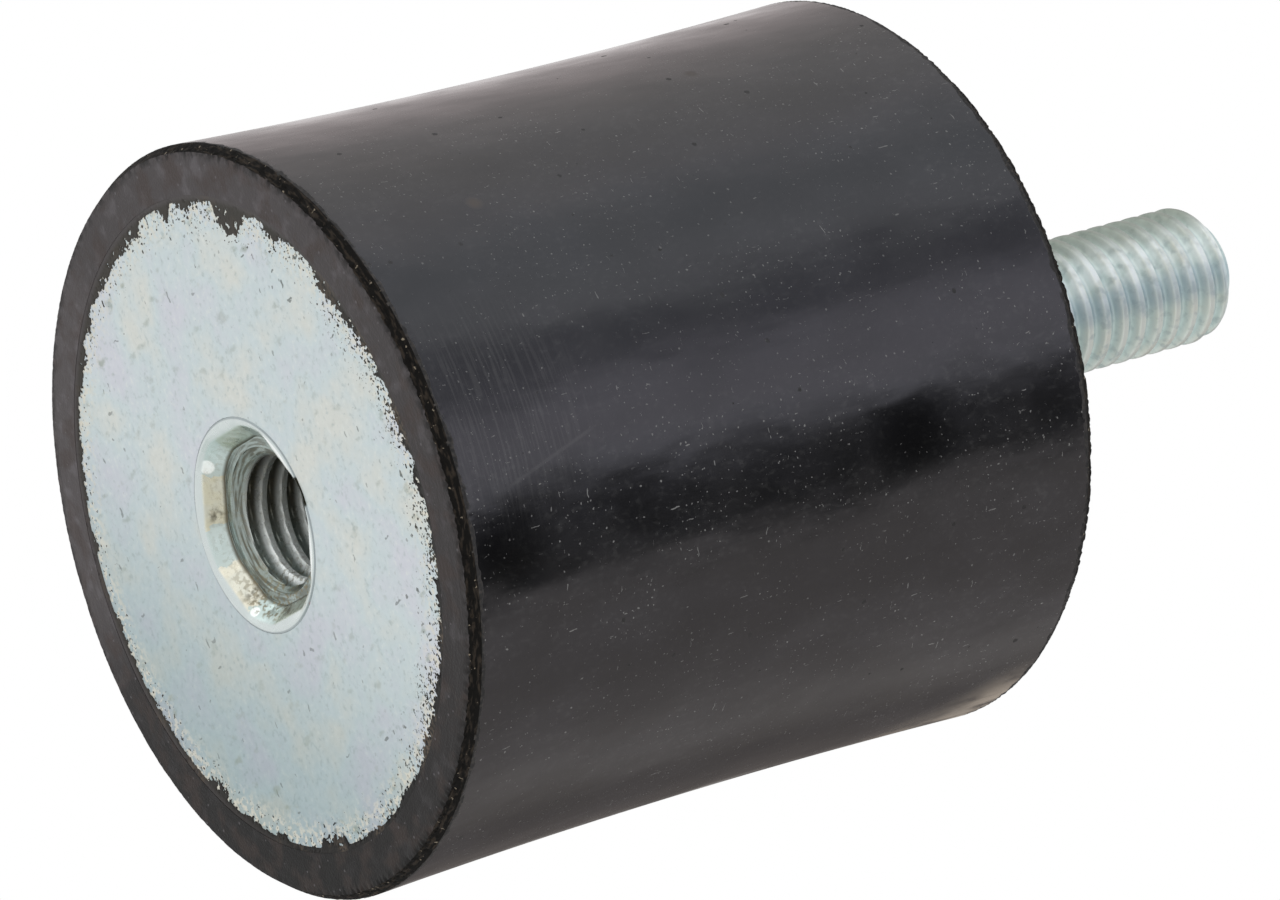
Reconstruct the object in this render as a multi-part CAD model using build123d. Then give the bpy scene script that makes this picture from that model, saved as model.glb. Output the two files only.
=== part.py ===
"""Cylindrical rubber vibration mount with a threaded bush in one end and a stud on the other.

Millimetres, +Z up. The axis is Z, the origin is the centre of the threaded end, which is
underneath, and the stud stands up. X points at the middle of one flat of the bush's mouth.
Five solids: the rubber, two steel end plates, the blind bush swaged into one plate and
the headed stud pressed through the other. The rubber is moulded and bonded round all four.
"""

import os

from build123d import *

# Rubber
END_DIAMETER = 40.4
HEIGHT = 40.0
WAIST_DEPTH = 0.4  # how far each side draws in at mid height
BEVEL_WIDTH = 0.4  # edge bevel, across the end
BEVEL_HEIGHT = 0.55  # edge bevel, along the side

# Steel end plates, each set a little below the rubber's end
RIM_WIDTH = 2.65  # ring of rubber round each plate
PLATE_THICKNESS = 2.0
PLATE_RECESS = 0.12
PLATE_CHAMFER = 0.4  # coined edge on the side that is in the rubber

# Blind bush, M8 x 1.25, its nose swaged into the threaded end plate
BUSH_NOSE_RADIUS = 5.8
BUSH_BODY_RADIUS = 6.5
BUSH_BODY_LENGTH = 8.0  # behind the plate
BUSH_END_WALL = 1.2
BUSH_END_CHAMFER = 0.6
BORE_RADIUS = 3.35  # at the crests of the thread
BORE_LEAD_RADIUS = 3.95  # where the thread's 45 degree lead-in opens

# Mouth of the bush: flats left by the swaging punch, between conical corners
MOUTH_DEPTH = 1.1
MOUTH_FLATS = 6
MOUTH_FLAT_RADIUS = 5.15  # axis to the middle of a flat, at the face
MOUTH_CORNER_RADIUS = 5.55
FLOOR_FLAT_RADIUS = 4.32  # axis to the middle of a flat, at the mouth's floor
FLOOR_CORNER_RADIUS = 4.5

# Stud, M8 x 1.25, its head in the rubber against the other plate
STUD_RADIUS = 3.88  # at the crests of the thread
STUD_PROJECTION = 24.15  # beyond the rubber
NECK_RADIUS = 4.35  # plain neck pressed into the plate, flush with its face
TIP_LENGTH = 2.15
TIP_RADIUS = 2.35  # of the flat end
TIP_BULGE = 0.48  # how far the rounded tip stands out from a plain chamfer
HEAD_RADIUS = 6.7
HEAD_THICKNESS = 2.8
HEAD_CHAMFER = 0.6

END_RADIUS = END_DIAMETER / 2
PLATE_RADIUS = END_RADIUS - RIM_WIDTH
BUSH_SHOULDER_Z = PLATE_RECESS + PLATE_THICKNESS
BUSH_END_Z = BUSH_SHOULDER_Z + BUSH_BODY_LENGTH
BORE_FLOOR_Z = BUSH_END_Z - BUSH_END_WALL
MOUTH_FLOOR_Z = PLATE_RECESS + MOUTH_DEPTH
LEAD_END_Z = MOUTH_FLOOR_Z + BORE_LEAD_RADIUS - BORE_RADIUS
STUD_PLATE_Z = HEIGHT - PLATE_RECESS  # the stud end plate's face
STUD_SHOULDER_Z = STUD_PLATE_Z - PLATE_THICKNESS
HEAD_Z = STUD_SHOULDER_Z - HEAD_THICKNESS
STUD_END_Z = HEIGHT + STUD_PROJECTION
BASE = (Align.CENTER, Align.CENTER, Align.MIN)


def turned(*outline):
    """Solid of revolution about Z, from a closed outline in the XZ plane."""
    return revolve(make_face(Curve() + list(outline)), Axis.Z)


def polyline(*points):
    """Straight runs through points given as (radius, z)."""
    return Polyline(*[(radius, 0, z) for radius, z in points])


def plate_blank():
    """Plate before piercing, face down on z = 0, with its coined edge on top."""
    disc = Cylinder(PLATE_RADIUS, PLATE_THICKNESS, align=BASE)
    coined_edge = disc.edges().filter_by(GeomType.CIRCLE).sort_by(Axis.Z)[-1]
    return chamfer(coined_edge, PLATE_CHAMFER)


def at_threaded_end(solid):
    """Seats a plate, or a tool shaped like one, in the threaded end."""
    return Pos(0, 0, PLATE_RECESS) * solid


def at_stud_end(solid):
    """Seats a plate, or a tool shaped like one, in the stud end, face up."""
    return Pos(0, 0, STUD_PLATE_Z) * Rot(180, 0, 0) * solid


def pierced_plate(hole_radius):
    return plate_blank() - Cylinder(hole_radius, PLATE_THICKNESS, align=BASE)


def bush_blank():
    """Bush before boring: the nose that fills the plate's hole, and the stepped body behind it."""
    return turned(
        polyline(
            (0, PLATE_RECESS),
            (BUSH_NOSE_RADIUS, PLATE_RECESS),
            (BUSH_NOSE_RADIUS, BUSH_SHOULDER_Z),
            (BUSH_BODY_RADIUS, BUSH_SHOULDER_Z),
            (BUSH_BODY_RADIUS, BUSH_END_Z - BUSH_END_CHAMFER),
            (BUSH_BODY_RADIUS - BUSH_END_CHAMFER, BUSH_END_Z),
            (0, BUSH_END_Z),
            (0, PLATE_RECESS),
        )
    )


def bush_mouth():
    """Tapered recess that the punch leaves: a pyramid of flats, rounded at its corners by a cone."""
    half_turn = 180 / MOUTH_FLATS
    at_face = RegularPolygon(MOUTH_FLAT_RADIUS, MOUTH_FLATS, major_radius=False, rotation=half_turn)
    at_floor = RegularPolygon(FLOOR_FLAT_RADIUS, MOUTH_FLATS, major_radius=False, rotation=half_turn)
    flats = loft([Pos(0, 0, PLATE_RECESS) * at_face, Pos(0, 0, MOUTH_FLOOR_Z) * at_floor])
    corners = Cone(MOUTH_CORNER_RADIUS, FLOOR_CORNER_RADIUS, MOUTH_DEPTH, align=BASE)
    return flats & (Pos(0, 0, PLATE_RECESS) * corners)


def bush_bore():
    """Threaded hole at its crests, with its lead-in and the cone that the drill leaves."""
    drill_cone = min(BORE_RADIUS / 2, BUSH_END_WALL / 2)
    return turned(
        polyline(
            (0, MOUTH_FLOOR_Z),
            (BORE_LEAD_RADIUS, MOUTH_FLOOR_Z),
            (BORE_RADIUS, LEAD_END_Z),
            (BORE_RADIUS, BORE_FLOOR_Z),
            (0, BORE_FLOOR_Z + drill_cone),
            (0, MOUTH_FLOOR_Z),
        )
    )


def threaded_stud():
    """Headed stud with a rounded tip."""
    tip_z = STUD_END_Z - TIP_LENGTH
    bulge_point = ((STUD_RADIUS + TIP_RADIUS) / 2 + TIP_BULGE, 0, STUD_END_Z - TIP_LENGTH / 2)
    shank = polyline(
        (TIP_RADIUS, STUD_END_Z),
        (0, STUD_END_Z),
        (0, HEAD_Z),
        (HEAD_RADIUS - HEAD_CHAMFER, HEAD_Z),
        (HEAD_RADIUS, HEAD_Z + HEAD_CHAMFER),
        (HEAD_RADIUS, STUD_SHOULDER_Z),
        (NECK_RADIUS, STUD_SHOULDER_Z),
        (NECK_RADIUS, STUD_PLATE_Z),
        (STUD_RADIUS, STUD_PLATE_Z),
        (STUD_RADIUS, tip_z),
    )
    tip = ThreePointArc((STUD_RADIUS, 0, tip_z), bulge_point, (TIP_RADIUS, 0, STUD_END_Z))
    return turned(shank, tip)


def rubber_blank():
    """Outside of the rubber: bevelled ends and a waisted side."""
    side_low = (END_RADIUS, 0, BEVEL_HEIGHT)
    side_middle = (END_RADIUS - WAIST_DEPTH, 0, HEIGHT / 2)
    side_high = (END_RADIUS, 0, HEIGHT - BEVEL_HEIGHT)
    ends = polyline(
        (END_RADIUS, HEIGHT - BEVEL_HEIGHT),
        (END_RADIUS - BEVEL_WIDTH, HEIGHT),
        (0, HEIGHT),
        (0, 0),
        (END_RADIUS - BEVEL_WIDTH, 0),
        (END_RADIUS, BEVEL_HEIGHT),
    )
    return turned(ends, ThreePointArc(side_low, side_middle, side_high))


stud = threaded_stud()
bush = bush_blank() - bush_mouth() - bush_bore()
recess = Cylinder(PLATE_RADIUS, PLATE_RECESS, align=BASE)
recesses = recess + Pos(0, 0, STUD_PLATE_Z) * recess
rubber = rubber_blank() - recesses - at_threaded_end(plate_blank()) - at_stud_end(plate_blank())
rubber = rubber - bush_blank() - stud

nodes = {
    "rubber_body": rubber,
    "threaded_end_plate": at_threaded_end(pierced_plate(BUSH_NOSE_RADIUS)),
    "threaded_bush": bush,
    "stud_end_plate": at_stud_end(pierced_plate(NECK_RADIUS)),
    "threaded_stud": stud,
}

os.makedirs("parts", exist_ok=True)
for name, solid in nodes.items():
    export_step(solid, f"parts/{name}.step")
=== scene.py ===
"""Rubber vibration mount: its threads, swaged mouth, moulded rubber and finishes, on the CAD frame.

The object stands on its threaded end, with its axis on Z and its stud up. Sizes in the classes
are in millimetres and angles in degrees; the meshes are in metres, as the frame is.
"""

import logging
import math
from dataclasses import dataclass
from enum import Enum
from typing import Callable, Sequence

import bpy
from mathutils import Matrix, Vector, noise


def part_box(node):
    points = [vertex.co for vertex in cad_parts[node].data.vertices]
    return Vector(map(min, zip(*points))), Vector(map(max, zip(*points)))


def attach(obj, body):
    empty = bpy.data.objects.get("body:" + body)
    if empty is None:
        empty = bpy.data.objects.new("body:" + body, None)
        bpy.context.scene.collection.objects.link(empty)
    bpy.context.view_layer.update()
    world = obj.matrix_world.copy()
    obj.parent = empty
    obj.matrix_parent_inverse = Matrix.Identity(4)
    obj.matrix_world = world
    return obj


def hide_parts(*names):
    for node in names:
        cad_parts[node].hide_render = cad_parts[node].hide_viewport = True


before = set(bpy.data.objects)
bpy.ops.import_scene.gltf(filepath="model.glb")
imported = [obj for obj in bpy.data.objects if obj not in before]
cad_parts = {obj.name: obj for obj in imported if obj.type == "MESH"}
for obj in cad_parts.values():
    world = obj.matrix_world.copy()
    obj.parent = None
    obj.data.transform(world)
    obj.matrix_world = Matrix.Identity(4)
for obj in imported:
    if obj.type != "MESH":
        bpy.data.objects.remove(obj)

Point = tuple[float, float]
Place = tuple[float, float, float]
Colour = tuple[float, float, float]
Tone = tuple[float, Colour]
Socket = bpy.types.NodeSocket
Value = float | Colour | Socket

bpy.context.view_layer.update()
BODY = "root"
LOG = logging.getLogger("vibration_mount")
MM = 0.001  # in metres
TINY = 0.001  # in millimetres, below any size of the object
FULL_TURN = 2 * math.pi
DOUBLINGS = 4  # how often a spun sector is doubled into a full turn


def corners(node: str) -> tuple[Place, Place]:
    """Lowest and highest corner of a CAD node, in millimetres."""
    return tuple(tuple(round(value / MM, 2) for value in corner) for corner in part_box(node))


# Sizes that several pieces share, first those of the frame. A face or a shoulder is the height
# of a plate's outer or inner side.
(*_, THREADED_FACE), (PLATE_RADIUS, _, SHOULDER) = corners("threaded_end_plate")
(*_, STUD_SHOULDER), (*_, STUD_FACE) = corners("stud_end_plate")
_, (END_RADIUS, _, HEIGHT) = corners("rubber_body")
_, (BUSH_RADIUS, _, BUSH_END) = corners("threaded_bush")
(*_, HEAD_Z), (HEAD_RADIUS, _, STUD_END) = corners("threaded_stud")
NOSE_RADIUS = 5.8  # of the bush, where it fills the plate's hole
MOUTH_FLOOR = 1.22  # of the bush's six-sided mouth, above the threaded end
BORE_RADIUS = 3.35
STEEL_CHAMFER = 0.6
STUD_CREST = 3.88
STUD_ROOT = 3.4


class Slot(Enum):
    """The record's material slots of the new pieces."""

    RUBBER = "rubber"
    BUSH = "zinc_bush"
    STUD = "zinc_stud"


# --- Modelling ---


def deselect() -> None:
    """Leaves nothing selected."""
    bpy.ops.object.select_all(action="DESELECT")


def straight(start: Point, end: Point, rows: int) -> list[Point]:
    """Evenly spaced points of a straight run.

    Args:
        start: Where the run starts, which isn't among the points.
        end: Where it ends, which is the last point.
        rows: How many points.

    Returns:
        The points, each a radius and a height.
    """
    parts = [(row + 1) / rows for row in range(rows)]
    return [tuple(a + (b - a) * part for a, b in zip(start, end)) for part in parts]


def turned(name: str, section: Sequence[Point], steps: int) -> bpy.types.Object:
    """Turns a half section about Z into a closed piece.

    Args:
        name: The piece's name.
        section: Its half section in millimetres, each point a radius and a height. It runs from
            axis to axis, or back to its first point.
        steps: How many steps make the full turn, a multiple of 16.

    Returns:
        The new piece, in object mode.
    """
    deselect()
    bpy.ops.mesh.primitive_plane_add(size=MM, location=(0, 0, 0))
    piece = bpy.context.object
    piece.name = name
    piece.data.name = name
    bpy.ops.object.mode_set(mode="EDIT")
    bpy.ops.mesh.select_mode(type="VERT")
    bpy.ops.mesh.select_all(action="SELECT")
    bpy.ops.mesh.merge(type="CENTER")
    bpy.ops.transform.translate(value=(section[0][0] * MM, 0, section[0][1] * MM))
    for here, there in zip(section, section[1:]):
        step = ((there[0] - here[0]) * MM, 0, (there[1] - here[1]) * MM)
        bpy.ops.mesh.extrude_vertices_move(TRANSFORM_OT_translate={"value": step})
    bpy.ops.mesh.select_all(action="SELECT")
    sector = FULL_TURN / 2**DOUBLINGS
    bpy.ops.mesh.spin(steps=steps // 2**DOUBLINGS, angle=sector, center=(0, 0, 0), axis=(0, 0, 1))
    for doubling in range(DOUBLINGS):
        bpy.ops.mesh.select_all(action="SELECT")
        bpy.ops.mesh.duplicate()
        turn = sector * 2**doubling
        bpy.ops.transform.rotate(value=turn, orient_axis="Z", center_override=(0, 0, 0))
    bpy.ops.mesh.select_all(action="SELECT")
    bpy.ops.mesh.remove_doubles(threshold=2 * TINY * MM)
    bpy.ops.mesh.normals_make_consistent(inside=False)
    bpy.ops.object.mode_set(mode="OBJECT")
    return piece


def reshape(piece: bpy.types.Object, rule: Callable[[float, float, float], Point]) -> None:
    """Moves the points of a turned piece along their own half planes.

    Args:
        piece: The piece.
        rule: Gives a point's new radius and height from its radius, angle and height, in
            millimetres and radians.
    """
    for vertex in piece.data.vertices:
        x, y, z = vertex.co / MM
        radius = math.hypot(x, y)
        if radius < TINY:
            continue
        angle = math.atan2(y, x)
        new_radius, height = rule(radius, angle, z)
        vertex.co = Vector((new_radius * math.cos(angle), new_radius * math.sin(angle), height)) * MM


def smooth(piece: bpy.types.Object, angle: float) -> None:
    """Shades a piece smooth.

    Args:
        piece: The piece.
        angle: How sharp an edge has to be to stay sharp, in degrees.
    """
    deselect()
    piece.select_set(True)
    bpy.context.view_layer.objects.active = piece
    bpy.ops.object.shade_smooth_by_angle(angle=math.radians(angle))
    deselect()


def grain(radius: float, angle: float, height: float, size: float, depth: int) -> float:
    """Uneven value about 0 at a point of a turned piece.

    Args:
        radius: The point's radius in millimetres.
        angle: Its angle in radians.
        height: Its height in millimetres.
        size: The pattern's size in millimetres.
        depth: How many finer patterns are laid over it.

    Returns:
        The value, about -1 to 1.
    """
    place = Vector((radius * math.cos(angle), radius * math.sin(angle), height)) / size
    return noise.fractal(place, 0.9, 2.1, depth)


def ramped(value: float, low: float, high: float) -> float:
    """Smooth rise from 0 at one value to 1 at another."""
    part = min(max((value - low) / (high - low), 0.0), 1.0)
    return part * part * (3 - 2 * part)


def round_trip(angle: float, marks: Sequence[Point]) -> float:
    """Value at an angle, from marks spread round a full turn.

    Args:
        angle: The angle in degrees.
        marks: Angles in rising order, each with its value.

    Returns:
        The value between the two nearest marks.
    """
    angle %= 360
    ring = [(marks[-1][0] - 360, marks[-1][1]), *marks, (marks[0][0] + 360, marks[0][1])]
    for (low, start), (high, end) in zip(ring, ring[1:]):
        if low <= angle <= high:
            return start + (end - start) * ramped(angle, low, high)
    return marks[0][1]


# --- Finishes ---


def round_axis(angle: float, radius: float, height: float) -> Place:
    """Place at an angle in degrees, a radius and a height."""
    return radius * math.cos(math.radians(angle)), radius * math.sin(math.radians(angle)), height


def paint(red: int, green: int, blue: int) -> Colour:
    """Linear colour from screen values of 0 to 255."""
    parts = [value / 255 for value in (red, green, blue)]
    return tuple(part / 12.92 if part <= 0.04045 else ((part + 0.055) / 1.055) ** 2.4 for part in parts)


class Graph:
    """One material's nodes, made through short calls, with its colour built up in layers.

    Sizes of patterns are in millimetres. A mask or a share is a value of 0 to 1.
    """

    def __init__(self, name: str, ground: Colour = (0.0, 0.0, 0.0)) -> None:
        """Starts a material with its shader and its place on the object.

        Args:
            name: The material's name.
            ground: The colour under all its layers.
        """
        self.material = bpy.data.materials.new(name)
        self.material.use_nodes = True
        self.tree = self.material.node_tree
        self.shader = self.tree.nodes["Principled BSDF"]
        self.output = self.tree.nodes["Material Output"]
        self.colour: Value = ground
        self.place = self.node("ShaderNodeTexCoord").outputs["Object"]
        self.x, self.y, self.height = self.node("ShaderNodeSeparateXYZ", Vector=self.place).outputs
        squares = (self.math("POWER", across, 2.0) for across in (self.x, self.y))
        self.radius = self.math("SQRT", self.plus(*squares))
        self.angle = self.math("ARCTAN2", self.y, self.x)

    def put(self, socket: Socket, value: Value) -> None:
        """Links or sets a socket.

        Args:
            socket: The input.
            value: A socket to link, a number, or a colour or vector of three numbers.
        """
        if isinstance(value, bpy.types.NodeSocket):
            self.tree.links.new(value, socket)
        elif isinstance(value, tuple) and socket.type == "RGBA":
            socket.default_value = (*value, 1.0)
        else:
            socket.default_value = value

    def node(self, kind: str, **inputs: Value) -> bpy.types.Node:
        """Adds a node.

        Args:
            kind: The node's type.
            inputs: Values for its inputs, by their names with _ for a space.

        Returns:
            The node.
        """
        made = self.tree.nodes.new(kind)
        for name, value in inputs.items():
            self.put(made.inputs[name.replace("_", " ")], value)
        return made

    def math(self, operation: str, first: Value, second: Value = 0.0) -> Socket:
        """Adds a sum on one or two values.

        Args:
            operation: The sum's name, as the Math node has it.
            first: The first value.
            second: The second value.

        Returns:
            The result.
        """
        made = self.node("ShaderNodeMath")
        made.operation = operation
        self.put(made.inputs[0], first)
        self.put(made.inputs[1], second)
        return made.outputs[0]

    def chain(self, operation: str, values: Sequence[Value]) -> Value:
        """Runs one sum through several values.

        Args:
            operation: The sum's name.
            values: The values, in their order.

        Returns:
            The result, or the value itself where there is only one.
        """
        result = values[0]
        for value in values[1:]:
            result = self.math(operation, result, value)
        return result

    def most(self, *values: Value) -> Value:
        """Largest of several values."""
        return self.chain("MAXIMUM", values)

    def times(self, *values: Value) -> Value:
        """Product of several values."""
        return self.chain("MULTIPLY", values)

    def plus(self, *values: Value) -> Value:
        """Sum of several values."""
        return self.chain("ADD", values)

    def minus(self, first: Value, second: Value) -> Socket:
        """First value less the second."""
        return self.math("SUBTRACT", first, second)

    def moved(self, scale: Place, shift: Place = (0.0, 0.0, 0.0)) -> Socket:
        """Place on the object, stretched and shifted."""
        return self.node("ShaderNodeMapping", Vector=self.place, Scale=scale, Location=shift).outputs[0]

    def polar(self, outwards: float, along: float, around: float = END_RADIUS) -> Socket:
        """Place round the axis, so that a pattern follows the turned surface.

        Args:
            outwards: Scale of the radius.
            along: Scale of the height.
            around: Scale of the angle, in millimetres a radian. It is true at that radius.

        Returns:
            The place, in metres.
        """
        made = self.node("ShaderNodeCombineXYZ")
        self.put(made.inputs[0], self.times(self.angle, around * MM))
        self.put(made.inputs[1], self.times(self.height, along))
        self.put(made.inputs[2], self.times(self.radius, outwards))
        return made.outputs[0]

    def warped(self, place: Socket, size: float, reach: float) -> Socket:
        """A place shifted unevenly, so that what is read there gets ragged outlines.

        Args:
            place: The place.
            size: The unevenness's size.
            reach: About how far it shifts a place, in millimetres.

        Returns:
            The shifted place.
        """
        made = self.node("ShaderNodeTexNoise", Vector=self.place, Scale=1 / (size * MM), Detail=3.0)
        shift = self.node("ShaderNodeVectorMath")
        shift.operation = "MULTIPLY_ADD"
        self.put(shift.inputs[0], made.outputs["Color"])
        self.put(shift.inputs[1], (4 * reach * MM,) * 3)
        self.put(shift.inputs[2], place)
        return shift.outputs[0]

    def towards(self, angle: float) -> Socket:
        """How far a place lies in a direction across the axis, in metres."""
        east, north = math.cos(math.radians(angle)), math.sin(math.radians(angle))
        return self.plus(self.times(self.x, east), self.times(self.y, north))

    def facing(self, angle: float) -> Socket:
        """How squarely a place faces a direction across the axis: 1 there, -1 opposite."""
        return self.math("DIVIDE", self.towards(angle), self.radius)

    def rise(self, value: Value, low: float, high: float) -> Socket:
        """Smooth rise of a mask.

        Args:
            value: What it follows.
            low: The value at which the mask is 0.
            high: The value at which it is 1, which may be the lower of the two.

        Returns:
            The mask.
        """
        made = self.node("ShaderNodeMapRange", Value=value, From_Min=low, From_Max=high)
        made.interpolation_type = "SMOOTHSTEP"
        return made.outputs[0]

    def past(self, length: Value, low: float, high: float) -> Socket:
        """Smooth rise of a mask over a length, from 0 to 1 at two numbers of millimetres."""
        return self.rise(length, low * MM, high * MM)

    def between(self, value: Value, low: float, high: float) -> Socket:
        """Value of 0 to 1 spread between two numbers."""
        return self.node("ShaderNodeMapRange", Value=value, To_Min=low, To_Max=high).outputs[0]

    def mottle(self, size: float, detail: float, place: Socket | None = None) -> Socket:
        """Cloudy value of about 0.3 to 0.7, its patches of a given size."""
        inputs = {"Vector": place or self.place, "Scale": 1 / (size * MM), "Detail": detail}
        return self.node("ShaderNodeTexNoise", **inputs).outputs["Fac"]

    def patches(
        self, size: float, detail: float, low: float, high: float, place: Socket | None = None
    ) -> Socket:
        """Mask of uneven patches, where a cloudy value passes from one number to another."""
        return self.rise(self.mottle(size, detail, place), low, high)

    def specks(self, spacing: float, size: float, place: Socket | None = None) -> Socket:
        """Mask of specks scattered over a flat or a rolled-out surface.

        Args:
            spacing: Size of the cells that hold one speck each.
            size: The largest speck's radius, as a part of its cell.
            place: Where the pattern is read by its first two axes, if it isn't the object's own.

        Returns:
            The mask, 1 on a speck.
        """
        made = self.node("ShaderNodeTexVoronoi")
        made.voronoi_dimensions = "2D"
        self.put(made.inputs["Vector"], place or self.place)
        self.put(made.inputs["Scale"], 1 / (spacing * MM))
        chance = self.node("ShaderNodeSeparateXYZ", Vector=made.outputs["Color"]).outputs[0]
        reach = self.times(self.math("POWER", chance, 3.0), size)
        return self.rise(self.minus(reach, made.outputs["Distance"]), 0.0, size * 0.25)

    def spot(self, centre: Place, inner: float, outer: float) -> Socket:
        """Mask round one point.

        Args:
            centre: The point in millimetres.
            inner: How far from it the mask is 1.
            outer: How far from it the mask has fallen to 0.

        Returns:
            The mask.
        """
        made = self.node("ShaderNodeVectorMath")
        made.operation = "DISTANCE"
        self.put(made.inputs[0], self.place)
        self.put(made.inputs[1], tuple(value * MM for value in centre))
        return self.past(made.outputs["Value"], outer, inner)

    def spots(self, centres: Sequence[Place], inner: float, outer: float) -> Value:
        """Mask round each of several points."""
        return self.most(*(self.spot(centre, inner, outer) for centre in centres))

    def mix(self, amount: Value, first: Value, second: Value, kind: str = "MIX") -> Socket:
        """Mixes two colours.

        Args:
            amount: The share of the second.
            first: The first colour.
            second: The second colour.
            kind: How they are mixed, as the Mix node names it.

        Returns:
            The mixed colour.
        """
        made = self.node("ShaderNodeMix")
        made.data_type = "RGBA"
        made.blend_type = kind
        for place, value in ((0, amount), (6, first), (7, second)):
            self.put(made.inputs[place], value)
        return made.outputs[2]

    def lay(self, tone: Value, *masks: Value) -> None:
        """Lays a tone over the colour so far, by the product of its masks and shares."""
        self.colour = self.mix(self.times(*masks), self.colour, tone)

    def ramp(self, value: Value, stops: Sequence[Tone], kind: str = "LINEAR") -> Socket:
        """Picks a colour by a value.

        Args:
            value: The value, from 0 to 1.
            stops: Values in rising order, each with its colour.
            kind: How the colours run between the stops.

        Returns:
            The colour.
        """
        made = self.node("ShaderNodeValToRGB", Fac=value)
        made.color_ramp.interpolation = kind
        elements = made.color_ramp.elements
        while len(elements) < len(stops):
            elements.new(0.5)
        for element, (position, colour) in zip(elements, stops):
            element.position = position
            element.color = (*colour, 1.0)
        return made.outputs[0]

    def bump(self, height: Value, depth: float, normal: Socket | None = None) -> Socket:
        """Bumps the surface.

        Args:
            height: The bumps, from 0 to 1.
            depth: How many millimetres 1 stands for.
            normal: The normal that they are added to.

        Returns:
            The bumped normal.
        """
        made = self.node("ShaderNodeBump", Height=height, Distance=depth * MM)
        if normal:
            self.put(made.inputs["Normal"], normal)
        return made.outputs[0]

    def dress(self, **inputs: Value) -> bpy.types.Material:
        """Gives the shader its colour and its other inputs.

        Args:
            inputs: Values for the shader's inputs, by their names with _ for a space.

        Returns:
            The material.
        """
        for name, value in {"Base_Color": self.colour, **inputs}.items():
            self.put(self.shader.inputs[name.replace("_", " ")], value)
        return self.material


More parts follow.
